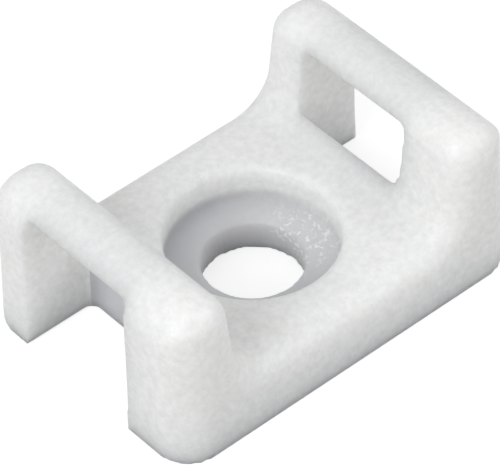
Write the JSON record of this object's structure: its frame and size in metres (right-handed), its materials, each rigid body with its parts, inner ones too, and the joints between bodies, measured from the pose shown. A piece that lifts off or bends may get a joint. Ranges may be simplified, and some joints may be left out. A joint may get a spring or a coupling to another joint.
{
  "type": "cable tie mount",
  "caption": "White nylon saddle-type cable tie mount with a recessed screw hole in its floor and a tie slot through each end wall.",
  "frame": {"origin": "on the axis of the screw hole, in the mounting face", "axes": "+X from end wall to end wall, +Y along the cables, +Z away from the panel"},
  "size_m": [0.015, 0.0102, 0.0063],
  "materials": {
    "nylon": "matte"
  },
  "bodies": {
    "root": {"tie_mount": "nylon"}
  },
  "joints": []
}
